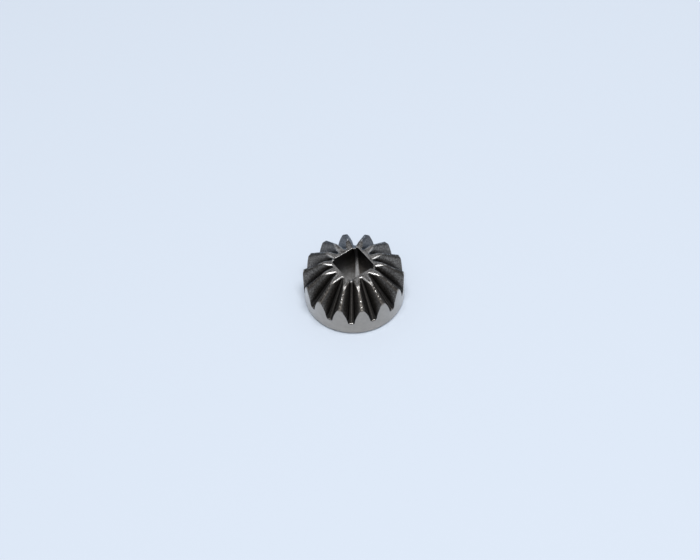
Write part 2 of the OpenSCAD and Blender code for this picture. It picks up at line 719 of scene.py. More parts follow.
@dataclass
class GearBody:
    """Gear in one piece, swept loop by loop over the rim, the teeth, the small end, the hole and the back.

    Attributes:
        tooth: Form of the teeth.
        hole: Square hole.
        lip: Lip at the end of each tooth root.
        dents: Unevenness of the teeth.
        rim_chamfer: Chamfer on the bottom edge of the rim.
        chamfer_edge: Width of the roundings at both ends of the chamfer.
        foot_band: Distance of the first level loop on the rim above its foot.
        rim_line: Height of the last level loop on the rim.
        rim_shares: Places of the loops from there up to the teeth.
        rim_band: Where the loop below the rim's upper rounding lies, in widths of it.
        back_line_r: Radius of the loop half way across the back face.
        mouth_share: Place of the loop beside the hole on the back face, as a share of the way to the rim.
        nick_gap: Flat that is left where the hole cuts a tooth root short.
        flat_gap: Largest distance from the small end at which a point still counts as lying on it.
        round_shares: Places of the loops across a rounded edge.
        lip_steps: Distances of the loops over the lip from the rim.
        tooth_steps: Number of loops along the rest of the teeth.
        toe_room: Where the last of them lies before the small end, in widths of the rounding there.
        dent_fade: How fast the dents fade before the small end.
        cap_shares: Places of the loops from the teeth in to the hole.
        wall_shares: Places of the loops down the hole's wall.
        heel_edge: Width of the rounding between the rim and the teeth.
        toe_edge: Width of the rounding between the teeth and the small end, on the teeth.
        cap_edge: Width of the same rounding on the small end.
        crest_wear_and_highlight: How far the raised places along the teeth are rubbed bright and carry a
            painted highlight.
        toe_highlight: Painted highlight on the rounding at the small end.
        bend_highlight: Painted highlight on the tooth crests where they bend into the small end.
        bend_reach: Share of the way to the hole over which that is full.
        bend_fade: Share of the way to the hole over which it fades.
        painted_shade_by_zone: Painted shade on the teeth, by zone: in the root fillets and on the crests.
        flank_shade: How much darker the flanks get toward the roots, as painted shade.
        dim_highlight_teeth: Teeth whose flanks carry a weaker painted highlight at the small end, counted
            from +X, the first as 0.
        dim_highlight_share: Share of the painted highlight that those have.
        heel_wear: How far the rounding between the rim and the teeth is rubbed bright.
        heel_sides: The same beside it, on the rim and on the teeth.
        toe_sides: Share of the painted highlight of the rounding at the small end that its two sides have.
        mouth_sides: How far the sides of the hole's upper edge are rubbed bright.
        turned_sides: How far the sides of the other rounded edges are rubbed bright.
    """

    tooth: ToothForm = field(default_factory=ToothForm)
    hole: SquareHole = field(default_factory=SquareHole)
    lip: RootLip = field(default_factory=RootLip)
    dents: Dents = field(default_factory=Dents)
    rim_chamfer: float = 0.22
    chamfer_edge: float = 0.04
    foot_band: float = 0.06
    rim_line: float = 1.2
    rim_shares: tuple[float, ...] = (0.45, 0.75, 0.88, 0.92, 0.95, 0.98)
    rim_band: float = 2.5
    back_line_r: float = 3.4
    mouth_share: float = 0.05
    nick_gap: float = 0.015
    flat_gap: float = 1e-4
    round_shares: tuple[float, ...] = (0.25, 0.5, 0.75)
    lip_steps: tuple[float, ...] = (0.06, 0.08, 0.1, 0.12, 0.14, 0.16, 0.18, 0.22)
    tooth_steps: int = 34
    toe_room: float = 1.8
    dent_fade: float = 4.0
    cap_shares: tuple[float, ...] = (0.06, 0.12, 0.18, 0.26, 0.36, 0.5, 0.75)
    wall_shares: tuple[float, ...] = (0.03, 0.2, 0.4, 0.6, 0.8, 0.95)
    heel_edge: ByZone = field(default_factory=lambda: by_zone(0.028, 0.028, 0.02, 0.02, 0.02))
    toe_edge: ByZone = field(default_factory=lambda: by_zone(0.14, 0.14, 0.16, 0.05, 0.02))
    cap_edge: ByZone = field(default_factory=lambda: by_zone(0.05, 0.05, 0.16, 0.05, 0.02))
    crest_wear_and_highlight: ByZone = field(default_factory=lambda: by_zone(0.0, 0.0, 0.0, 0.0, 1.0))
    toe_highlight: ByZone = field(default_factory=lambda: by_zone(0.62, 0.66, 0.88, 0.35, 1.0))
    bend_highlight: ByZone = field(default_factory=lambda: by_zone(0.0, 0.0, 0.0, 0.5, 1.0))
    bend_reach: float = 0.12
    bend_fade: float = 0.24
    painted_shade_by_zone: ByZone = field(default_factory=lambda: by_zone(0.2, 0.88, 0.0, 0.38, 0.65))
    flank_shade: float = 0.6
    dim_highlight_teeth: tuple[int, ...] = (1, 2, 8, 9)
    dim_highlight_share: float = 0.5
    heel_wear: float = 0.5
    heel_sides: tuple[float, float] = (0.2, 0.1)
    toe_sides: float = 0.5
    mouth_sides: float = 0.2
    turned_sides: float = 0.4

    @cached_property
    def blank(self) -> Blank:
        """Blank that the teeth are cut in."""
        return Blank(self.tooth)

    @cached_property
    def columns(self) -> list[Column]:
        """Columns of the mesh."""
        return self.tooth.columns()

    @cached_property
    def even_turns(self) -> list[float]:
        """Evenly spread turns, one a column."""
        step = 2.0 * math.pi / len(self.columns)
        return [self.columns[0].turn + step * i for i in range(len(self.columns))]

    @cached_property
    def mouth_turns(self) -> list[float]:
        """Turns of the hole's vertices, half way between the tooth columns and an even spread."""
        return [(c.turn + even) / 2.0 for c, even in zip(self.columns, self.even_turns)]

    @cached_property
    def root_reach(self) -> float:
        """Distance from the apex to the rim along the tooth roots."""
        return self.tooth.rim_r / math.sin(self.tooth.root_angle)

    def smoothed(self, values: ByZone, reach: int = 3) -> list[float]:
        """Spreads a value of each zone over the columns without steps.

        Args:
            values: Value of each zone.
            reach: Number of columns on each side that are averaged.

        Returns:
            One value a column.
        """
        plain = [values[c.zone] for c in self.columns]
        count, span = len(plain), range(-reach, reach + 1)
        return [sum(plain[(i + k) % count] for k in span) / len(span) for i in range(count)]

    def darkening(self) -> list[float]:
        """Gives how far each column is darkened by painted shade: most in the root fillets, and less and less
        up the flanks.

        Returns:
            One share a column.
        """
        low, high = self.tooth.root_angle, self.tooth.face_angle
        depths = [(high - c.slope) / (high - low) if c.zone is Zone.FLANK else 0.0 for c in self.columns]
        # Painted shade: each zone's share, the flanks darker toward the roots, and streaks that differ at
        # random between columns.
        plain = self.smoothed(self.painted_shade_by_zone, reach=1)
        shades = [dark + self.flank_shade * depth * depth for dark, depth in zip(plain, depths)]
        return [shade + self.dents.streak_at(i) for i, shade in enumerate(shades)]

    def toe_highlights(self) -> list[float]:
        """Gives the painted highlight on the edge of the small end, weaker on the flanks of a few teeth.

        Returns:
            One share a column.
        """
        step = 2.0 * math.pi / self.tooth.teeth
        # Painted highlight on the rounding at the small end, weaker on the flanks of the listed teeth.
        sharp = [c.zone is Zone.FLANK and int(c.turn // step) in self.dim_highlight_teeth for c in self.columns]
        plain = self.smoothed(self.toe_highlight, reach=2)
        return [wear_and_highlight * (self.dim_highlight_share if less else 1.0) for wear_and_highlight, less in zip(plain, sharp)]

    @staticmethod
    def along(ring: Ring, index: int) -> Vector:
        """Gives the direction along a closed ring at one of its points."""
        return (ring[(index + 1) % len(ring)] - ring[index - 1]).normalized()

    def circle(self, radius: float, height: float) -> Ring:
        """Gives a round loop with evenly spread points."""
        return [around(radius, turn, height) for turn in self.even_turns]

    def rounding(
        self, start: Ring, corner: Ring, end: Ring, finish: Finish, wear_and_highlight: float | Sequence[float] = 1.0
    ) -> list[Loop]:
        """Rounds an edge of the gear.

        Args:
            start: Loop where the rounding begins.
            corner: Loop of the sharp edge.
            end: Loop where the rounding ends.
            finish: Finish of the rounding.
            wear_and_highlight: How bright it is made by wear and painted highlight, one a column or one for
                all.

        Returns:
            The loops between both ends.
        """
        return [
            Loop([curve_point(*three, share) for three in zip(start, corner, end)], finish, wear_and_highlight)
            for share in self.round_shares
        ]

    def rim_edge(self, lift_angles: Sequence[float]) -> Ring:
        """Gives the loop where the teeth, raised by the given angles, meet the rim."""
        places = [self.blank.heel(c.slope + lift) for c, lift in zip(self.columns, lift_angles)]
        return [around(place.x, c.turn, place.y) for place, c in zip(places, self.columns)]

    def on_rim(self, edge: Ring, widths: Sequence[float], share: float) -> Ring:
        """Finds a loop on the rim below its upper edge.

        Args:
            edge: Upper edge of the rim.
            widths: Distance from the edge, one a column.
            share: Factor on all distances.

        Returns:
            The loop.
        """
        ring = []
        for i, point in enumerate(edge):
            away = self.along(edge, i).cross(self.blank.heel_normal(point))
            moved = point + away * widths[i] * share
            ring.append(around(self.blank.rim_radius(moved.z), turn_of(moved), moved.z))
        return ring

    def on_cap(self, edge: Ring, cut_short: Sequence[bool], widths: Sequence[float]) -> Ring:
        """Finds a loop on the small end inside its outer edge.

        Args:
            edge: Outer edge of the small end.
            cut_short: Whether the hole cuts the tooth surface short, one a column.
            widths: Distance from the edge, one a column.

        Returns:
            The loop.
        """
        ring = []
        for i, point in enumerate(edge):
            inward = around(-1.0, self.columns[i].turn, 0.0)
            away = inward if cut_short[i] else self.blank.cap_normal(point).cross(self.along(edge, i))
            moved = point + away * widths[i]
            height = point.z if cut_short[i] else self.blank.cap_height(radius_of(moved))
            ring.append(around(radius_of(moved), turn_of(moved), height))
        return ring

    def lip_loops(self, surface: ToothSurface, lips: list[float], painted_shade: list[float]) -> list[Loop]:
        """Sweeps over the lip at the end of the tooth roots.

        Args:
            surface: Surface of the teeth.
            lips: Height of the lip as a share of its full height, one a column.
            painted_shade: Painted shade on the teeth, one a column.

        Returns:
            The loops, in order.
        """
        loops = []
        for step in self.lip_steps:
            # Painted highlight half way down the lip's slope, which takes the painted shade off there.
            wear_and_highlight = [self.lip.rubbed(step) * share for share in lips]
            left = [dark * (1.0 - bright) for dark, bright in zip(painted_shade, wear_and_highlight)]
            loops.append(Loop(surface.at([step] * len(lips)), Finish.TOOTH, wear_and_highlight, left))
        return loops

    def face_loops(self, surface: ToothSurface, toe_edge: list[float], painted_shade: list[float]) -> list[Loop]:
        """Sweeps along the teeth from the lip to just before the rounding at the small end.

        Args:
            surface: Surface of the teeth.
            toe_edge: Width of that rounding, one a column.
            painted_shade: Painted shade on the teeth, one a column.

        Returns:
            The loops, in order.
        """
        lines = zip(surface.foot, surface.toe, toe_edge)
        lasts = [(b - a).length - self.toe_room * width for a, b, width in lines]
        first, crest = self.lip_steps[-1], self.smoothed(self.crest_wear_and_highlight, reach=1)
        loops = []
        for step in range(1, self.tooth_steps + 1):
            share = step / self.tooth_steps
            even = surface.at([first + (last - first) * share for last in lasts])
            # Painted highlight dots on the crests, set just past each raised place toward the small end.
            tops = [p - line * self.dents.slope for p, line in zip(even, surface.up)]
            wear_and_highlight = [w * self.dents.rubbed(p) for w, p in zip(crest, tops)]
            dented = surface.dented(even, min(1.0, self.dent_fade * (1.0 - share)))
            loops.append(Loop(dented, Finish.TOOTH, wear_and_highlight, painted_shade))
        return loops

    def tooth_loops(self) -> list[Loop]:
        """Sweeps from the rim up over the teeth to the edge of the small end.

        Returns:
            The loops, in order.
        """
        heel_edge, toe_edge = self.smoothed(self.heel_edge), self.smoothed(self.toe_edge)
        cap_edge, painted_shade = self.smoothed(self.cap_edge), self.darkening()
        rises = [(c.slope - self.tooth.root_angle) * self.root_reach for c in self.columns]
        lips = [self.lip.across(rise) for rise in rises]
        lifts = [share * self.lip.height for share in lips]
        foot = self.rim_edge([0.0] * len(lifts))
        heel = self.rim_edge([lift / self.root_reach for lift in lifts])
        toe, cut_short = self.toe_ring(cap_edge)
        surface = ToothSurface(self.columns, foot, toe, lifts, self.lip, self.dents)
        rim_end, tooth_start = self.on_rim(heel, heel_edge, 1.0), surface.at(heel_edge)
        rim_side, tooth_side = self.heel_sides
        loops = [Loop(self.on_rim(heel, heel_edge, self.rim_band), Finish.TURNED)]
        loops.append(Loop(rim_end, Finish.TURNED, rim_side))
        loops += self.rounding(rim_end, heel, tooth_start, Finish.TOOTH, self.heel_wear)
        loops.append(Loop(tooth_start, Finish.TOOTH, tooth_side, painted_shade))
        loops += self.lip_loops(surface, lips, painted_shade)
        loops += self.face_loops(surface, toe_edge, painted_shade)
        tooth_end = [end - line * width for end, line, width in zip(toe, surface.up, toe_edge)]
        # Painted highlight on the rounding at the small end, with a share of it on both sides.
        cap_start, toe_highlight = self.on_cap(toe, cut_short, cap_edge), self.toe_highlights()
        beside = [wear_and_highlight * self.toe_sides for wear_and_highlight in toe_highlight]
        loops.append(Loop(tooth_end, Finish.TOOTH, beside, painted_shade))
        loops += self.rounding(tooth_end, toe, cap_start, Finish.TOOTH, toe_highlight)
        return loops + [Loop(cap_start, Finish.TOOTH, beside)]

    def toe_ring(self, cap_edge: list[float]) -> tuple[Ring, list[bool]]:
        """Finds where the tooth surface meets the small end, short of the hole.

        Args:
            cap_edge: Width of the rounding on the small end, one a column.

        Returns:
            The loop, and for each column whether the hole cuts it short.
        """
        ring, cut_short = [], []
        for column, width in zip(self.columns, cap_edge):
            place = self.blank.toe(column.slope)
            least = self.hole.radius(column.turn, self.hole.edge + self.nick_gap) + width
            cut_short.append(place.x < least)
            if place.x < least:
                place = Vector((least, self.blank.apex_h - least / math.tan(column.slope)))
            ring.append(around(place.x, column.turn, place.y))
        return ring, cut_short

    def end_loops(self, outline: Ring) -> list[Loop]:
        """Sweeps over the small end to the hole and down its wall.

        Args:
            outline: Last loop of the teeth.

        Returns:
            The loops, in order.
        """
        hole, top = self.hole, self.blank.overall_h
        flat = [abs(p.z - self.blank.cap_height(radius_of(p))) < self.flat_gap for p in outline]
        heights = [top if whole else p.z for whole, p in zip(flat, outline)]
        wall = [around(hole.radius(t), t, z) for t, z in zip(self.mouth_turns, heights)]
        mouth = [around(hole.radius(t, hole.edge), t, z) for t, z in zip(self.mouth_turns, heights)]
        lip = [point - Vector((0.0, 0.0, hole.edge)) for point in wall]
        bend = self.smoothed(self.bend_highlight, reach=2)
        loops = []
        for share in self.cap_shares:
            ring = [a.lerp(b, share) for a, b in zip(outline, mouth)]
            for whole, point in zip(flat, ring):
                point.z = self.blank.cap_height(radius_of(point)) if whole else point.z
            # Painted highlight where the crests bend into the small end, fading toward the hole.
            fade = 1.0 - ease((share - self.bend_reach) / self.bend_fade)
            loops.append(Loop(ring, Finish.END, [wear_and_highlight * fade for wear_and_highlight in bend]))
        loops.append(Loop(mouth, Finish.END, self.mouth_sides))
        loops += self.rounding(mouth, wall, lip, Finish.END)
        # Full painted shade at the top of the hole's wall.
        loops.append(Loop(lip, Finish.HOLE, self.mouth_sides, 1.0))
        for share in self.wall_shares:
            ring = [Vector((p.x, p.y, p.z * (1.0 - share))) for p in lip]
            # Painted highlight low down in the corners of the wall, and painted shade near its top.
            wear_and_highlight = [hole.rubbed(t, share) for t in self.mouth_turns]
            loops.append(Loop(ring, Finish.HOLE, wear_and_highlight, hole.darkened(share)))
        return loops

    def back_loops(self) -> list[Loop]:
        """Sweeps round the hole's lower edge, over the back face and the chamfer to the rim.

        Returns:
            The loops, in order.
        """
        hole, edge, turns = self.hole, self.hole.edge, self.mouth_turns
        wall = [around(hole.radius(t), t, edge) for t in turns]
        corner = [around(hole.radius(t), t, 0.0) for t in turns]
        mouth = [around(hole.radius(t, edge), t, 0.0) for t in turns]
        outer, cut, bevel = self.tooth.rim_r, self.rim_chamfer, self.chamfer_edge
        inner, slope = outer - cut, bevel / math.sqrt(2.0)
        beside = [p.lerp(q, self.mouth_share) for p, q in zip(mouth, self.circle(outer, 0.0))]
        loops = [Loop(wall, Finish.HOLE, self.turned_sides)]
        loops += self.rounding(wall, corner, mouth, Finish.TURNED)
        loops.append(Loop(mouth, Finish.TURNED, self.turned_sides))
        loops.append(Loop(beside, Finish.TURNED))
        loops.append(Loop(self.circle(self.back_line_r, 0.0), Finish.TURNED))
        bends = (
            ((inner - bevel, 0.0), (inner, 0.0), (inner + slope, slope)),
            ((outer - slope, cut - slope), (outer, cut), (outer, cut + bevel)),
        )
        for places in bends:
            start, bend, end = (self.circle(*place) for place in places)
            loops.append(Loop(start, Finish.TURNED, self.turned_sides))
            loops += self.rounding(start, bend, end, Finish.TURNED)
            loops.append(Loop(end, Finish.TURNED, self.turned_sides))
        return loops[:-1]

    def rim_loops(self, outline: Ring) -> list[Loop]:
        """Sweeps from the foot of the rim up its round side.

        Args:
            outline: First loop of the teeth.

        Returns:
            The loops, in order.
        """
        rim_r, foot = self.tooth.rim_r, self.rim_chamfer + self.chamfer_edge
        line = self.circle(rim_r, self.rim_line)
        loops = [Loop(self.circle(rim_r, foot), Finish.TURNED, self.turned_sides)]
        loops.append(Loop(self.circle(rim_r, foot + self.foot_band), Finish.TURNED))
        loops.append(Loop(line, Finish.TURNED))
        for share in self.rim_shares:
            places = [a.lerp(b, share) for a, b in zip(line, outline)]
            ring = [around(self.blank.rim_radius(p.z), turn_of(p), p.z) for p in places]
            loops.append(Loop(ring, Finish.TURNED))
        return loops

    def loops(self) -> list[Loop]:
        """Sweeps round the whole gear, from the foot of the rim to just before it.

        Returns:
            The loops, in order.
        """
        teeth = self.tooth_loops()
        rim = self.rim_loops(teeth[0].points)
        return rim + teeth + self.end_loops(teeth[-1].points) + self.back_loops()

    @staticmethod
    def place(bm: BMesh, verts: Sequence[BMVert], loop: Loop) -> None:
        """Moves a ring of vertices to a loop, each by its column.

        Args:
            bm: Mesh that holds the vertices.
            verts: Vertices of the ring.
            loop: Loop that they go to.
        """
        column, values = bm.verts.layers.int[COLUMN], bm.verts.layers.float
        wear_and_highlight, painted_shade = values[WEAR_AND_HIGHLIGHT], values[PAINTED_SHADE]
        for vert in verts:
            vert.co = loop.points[vert[column]]
            vert[wear_and_highlight] = loop.wear_and_highlight_at(vert[column])
            vert[painted_shade] = loop.painted_shade_at(vert[column])

    def sweep(self, bm: BMesh) -> None:
        """Extrudes a circle through all loops and closes the last one to the first.

        Args:
            bm: Empty mesh that the gear is made in.
        """
        bm.verts.layers.int.new(COLUMN)
        bm.verts.layers.float.new(WEAR_AND_HIGHLIGHT)
        bm.verts.layers.float.new(PAINTED_SHADE)
        loops = self.loops()
        ring = bmesh.ops.create_circle(bm, segments=len(self.columns), radius=self.tooth.rim_r)["verts"]
        column, first = bm.verts.layers.int[COLUMN], list(bm.edges)
        for index, vert in enumerate(ring):
            vert[column] = index
        self.place(bm, ring, loops[0])
        edges = first
        for loop in loops[1:]:
            made = bmesh.ops.extrude_edge_only(bm, edges=edges)["geom"]
            verts = {item for item in made if isinstance(item, BMVert)}
            self.place(bm, list(verts), loop)
            for face in (item for item in made if isinstance(item, BMFace)):
                face.material_index = loop.finish.value
            edges = [item for item in made if isinstance(item, BMEdge) and set(item.verts) <= verts]
        closing = bmesh.ops.bridge_loops(bm, edges=edges + first)["faces"]
        for face in closing:
            face.material_index = Finish.TURNED.value

    def build(self) -> bpy.types.Object:
        """Builds the gear's mesh.

        Returns:
            The gear, which stands for its CAD node.
        """
        bm = bmesh.new()
        self.sweep(bm)
        bmesh.ops.recalc_face_normals(bm, faces=bm.faces)
        for face in bm.faces:
            face.smooth = True
        bmesh.ops.scale(bm, vec=(MM, MM, MM), verts=bm.verts)
        mesh = bpy.data.meshes.new("gear")
        bm.to_mesh(mesh)
        bm.free()
        gear = bpy.data.objects.new("gear", mesh)
        bpy.context.collection.objects.link(gear)
        normals = gear.modifiers.new("flat faces lead", "WEIGHTED_NORMAL")
        normals.mode = "FACE_AREA"
        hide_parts("bevel_gear")
        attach(gear, "root")
        return gear

    @staticmethod
    def dress(gear: bpy.types.Object, finishes: dict[Finish, "SteelFinish"]) -> None:
        """Gives each finish its material slot.

        Args:
            gear: The gear.
            finishes: Steel of each finish.
        """
        for finish in Finish:
            gear.data.materials.append(finishes[finish].material())


class Nodes:
    """Small helper that adds nodes to a tree and joins them."""

    def __init__(self, tree: bpy.types.NodeTree) -> None:
        """Starts on an empty tree."""
        self.tree = tree

    def add(self, kind: str, **settings: object) -> bpy.types.Node:
        """Adds a node.

        Args:
            kind: Type of the node.
            **settings: Properties of the node.

        Returns:
            The node.
        """
        node = self.tree.nodes.new(kind)
        for name, value in settings.items():
            setattr(node, name, value)
        return node

    def join(self, start: Socket, end: Socket) -> None:
        """Links an output to an input."""
        self.tree.links.new(start, end)

    def feed(self, value: Socket | float | Colour, end: Socket) -> None:
        """Links an output to an input, or sets a number or a colour there.

        Args:
            value: The output, number or colour.
            end: The input.
        """
        if isinstance(value, Socket):
            self.join(value, end)
        else:
            end.default_value = (*value, 1.0) if isinstance(value, tuple) else value

    def math(self, operation: str, a: Socket | float, b: Socket | float = 0.0, clamp: bool = False) -> Socket:
        """Works out one value from two.

        Args:
            operation: Name of the calculation.
            a: First value.
            b: Second value.
            clamp: Whether the result is kept between 0 and 1.

        Returns:
            The result.
        """
        node = self.add("ShaderNodeMath", operation=operation, use_clamp=clamp)
        self.feed(a, node.inputs[0])
        self.feed(b, node.inputs[1])
        return node.outputs[0]

    def weighed(self, a: Socket, a_share: float, b: Socket, b_share: float) -> Socket:
        """Adds two values, each times its share."""
        return self.math("ADD", self.math("MULTIPLY", a, a_share), self.math("MULTIPLY", b, b_share))

    def spread(
        self, value: Socket, low: float, high: float, to_low: float = 0.0, to_high: float = 1.0
    ) -> Socket:
        """Stretches a range of values onto another, smoothly and clamped.

        Args:
            value: The value.
            low: Start of its range.
            high: End of its range.
            to_low: Result at the start.
            to_high: Result at the end.

        Returns:
            The result.
        """
        node = self.add("ShaderNodeMapRange", interpolation_type="SMOOTHSTEP")
        self.join(value, node.inputs["Value"])
        for name, number in (("From Min", low), ("From Max", high), ("To Min", to_low), ("To Max", to_high)):
            node.inputs[name].default_value = number
        return node.outputs["Result"]

    def mix(self, share: Socket, a: Socket | Colour, b: Socket | Colour) -> Socket:
        """Mixes two colours.

        Args:
            share: Share of the second colour.
            a: First colour.
            b: Second colour.

        Returns:
            The mixed colour.
        """
        node = self.add("ShaderNodeMix", data_type="RGBA")
        self.join(share, node.inputs[0])
        self.feed(a, node.inputs[6])
        self.feed(b, node.inputs[7])
        return node.outputs[2]

    def noise(self, place: Socket, scale: Socket | float, detail: float, roughness: float = 0.5) -> Socket:
        """Adds a noise pattern.

        Args:
            place: Where it is read.
            scale: Its scale.
            detail: Number of finer layers.
            roughness: How strong the finer layers are.

        Returns:
            The pattern, about 0 to 1.
        """
        node = self.add("ShaderNodeTexNoise")
        self.join(place, node.inputs["Vector"])
        self.feed(scale, node.inputs["Scale"])
        node.inputs["Detail"].default_value = detail
        node.inputs["Roughness"].default_value = roughness
        return node.outputs["Fac"]


class Effect(Enum):
    """Shared surface effects, each a node group."""

    GRAIN = "steel grain"
    LINES = "turning lines"
    # Mask of rubbed edges and of painted highlights.
    RUBBED = "rubbed edges"


class EffectShelf:
    """Makes each shared node group once and hands it out.

    Attributes:
        GRAIN_SHARES: Shares of the coarse and of the fine grain in the tone.
        TONE_RANGE: Range of the grain that gives the whole range of tones.
        FINE_GLINT: Range of the fine grain over which it starts to glint.
        COARSE_GLINT: The same for the coarse grain.
        SWAY_SCALE: Scale of the noise by which the lathe lines sway.
        SWAY: How far they sway, in metres.
        PATCH_DEPTH: How much the rubbed edges and painted highlights are broken up.
        RUBBED_AND_HIGHLIT_RANGE: Range of wear and painted highlight over which a surface turns bright.
    """

    GRAIN_SHARES: tuple[float, float] = (0.55, 0.45)
    TONE_RANGE: tuple[float, float] = (0.35, 0.65)
    FINE_GLINT: tuple[float, float] = (0.58, 0.7)
    COARSE_GLINT: tuple[float, float] = (0.45, 0.65)
    SWAY_SCALE: float = 300.0
    SWAY: float = 0.0001
    PATCH_DEPTH: float = 1.1
    RUBBED_AND_HIGHLIT_RANGE: tuple[float, float] = (0.3, 0.9)

    def __init__(self) -> None:
        """Starts with no groups made."""
        self.made: dict[Effect, bpy.types.NodeTree] = {}
        self.makers: dict[Effect, Callable[[Nodes, bpy.types.Node, bpy.types.Node], None]] = {
            Effect.GRAIN: self.grain,
            Effect.LINES: self.lines,
            Effect.RUBBED: self.rubbed,
        }
        self.sockets: dict[Effect, tuple[dict[str, float], tuple[str, ...]]] = {
            Effect.GRAIN: ({"Fine": 20000.0, "Coarse": 5000.0}, ("Tone", "Height", "Glint")),
            Effect.LINES: ({"Scale": 20000.0}, ("Tone",)),
            Effect.RUBBED: ({"Scale": 8000.0}, ("Mask",)),
        }

    def get(self, effect: Effect) -> bpy.types.NodeTree:
        """Gives the node group of an effect.

        Args:
            effect: The effect.

        Returns:
            Its node group.
        """
        if effect not in self.made:
            tree = bpy.data.node_groups.new(effect.value, "ShaderNodeTree")
            values, outputs = self.sockets[effect]
            for name, value in values.items():
                socket = tree.interface.new_socket(name, in_out="INPUT", socket_type="NodeSocketFloat")
                socket.default_value = value
            for name in outputs:
                tree.interface.new_socket(name, in_out="OUTPUT", socket_type="NodeSocketFloat")
            nodes = Nodes(tree)
            self.makers[effect](nodes, nodes.add("NodeGroupInput"), nodes.add("NodeGroupOutput"))
            self.made[effect] = tree
        return self.made[effect]

    def grain(self, nodes: Nodes, given: bpy.types.Node, result: bpy.types.Node) -> None:
        """Makes the grain of pressed and tumbled steel: pits, small facets that glint, and cloudy tone.

        Args:
            nodes: Nodes of the group.
            given: Its input node.
            result: Its output node.
        """
        coarse_share, fine_share = self.GRAIN_SHARES
        place = nodes.add("ShaderNodeTexCoord").outputs["Object"]
        fine = nodes.noise(place, given.outputs["Fine"], detail=3.0, roughness=0.6)
        coarse = nodes.noise(place, given.outputs["Coarse"], detail=2.0)
        tone = nodes.weighed(coarse, coarse_share, fine, fine_share)
        fine_glint = nodes.spread(fine, *self.FINE_GLINT)
        coarse_glint = nodes.spread(coarse, *self.COARSE_GLINT)
        nodes.join(nodes.spread(tone, *self.TONE_RANGE), result.inputs["Tone"])
        nodes.join(nodes.math("ADD", fine, coarse), result.inputs["Height"])
        nodes.join(nodes.math("MULTIPLY", fine_glint, coarse_glint), result.inputs["Glint"])

    def lines(self, nodes: Nodes, given: bpy.types.Node, result: bpy.types.Node) -> None:
        """Makes fine lathe lines: rings on a flat end, and circles along the axis on a round side.

        Args:
            nodes: Nodes of the group.
            given: Its input node.
            result: Its output node.
        """
        place = nodes.add("ShaderNodeTexCoord").outputs["Object"]
        parts = nodes.add("ShaderNodeSeparateXYZ")
        nodes.join(place, parts.inputs[0])
        squares = [nodes.math("POWER", part, 2.0) for part in parts.outputs[:2]]
        sway = nodes.math("MULTIPLY", nodes.noise(place, self.SWAY_SCALE, detail=1.0), self.SWAY)
        lines = nodes.add("ShaderNodeCombineXYZ")
        nodes.join(nodes.math("SQRT", nodes.math("ADD", *squares)), lines.inputs[0])
        nodes.join(parts.outputs[2], lines.inputs[1])
        nodes.join(sway, lines.inputs[2])
        tone = nodes.noise(lines.outputs[0], given.outputs["Scale"], detail=3.0, roughness=0.65)
        nodes.join(tone, result.inputs["Tone"])

    def rubbed(self, nodes: Nodes, given: bpy.types.Node, result: bpy.types.Node) -> None:
        """Makes the mask of edges rubbed bright and of painted highlights, broken up by a noise.

        Args:
            nodes: Nodes of the group.
            given: Its input node.
            result: Its output node.
        """
        place = nodes.add("ShaderNodeTexCoord").outputs["Object"]
        wear_and_highlight = nodes.add("ShaderNodeAttribute", attribute_name=WEAR_AND_HIGHLIGHT).outputs["Fac"]
        patchy = nodes.math("SUBTRACT", nodes.noise(place, given.outputs["Scale"], detail=2.0), 0.5)
        raised = nodes.math("ADD", wear_and_highlight, nodes.math("MULTIPLY", patchy, self.PATCH_DEPTH))
        nodes.join(nodes.spread(raised, *self.RUBBED_AND_HIGHLIT_RANGE), result.inputs["Mask"])


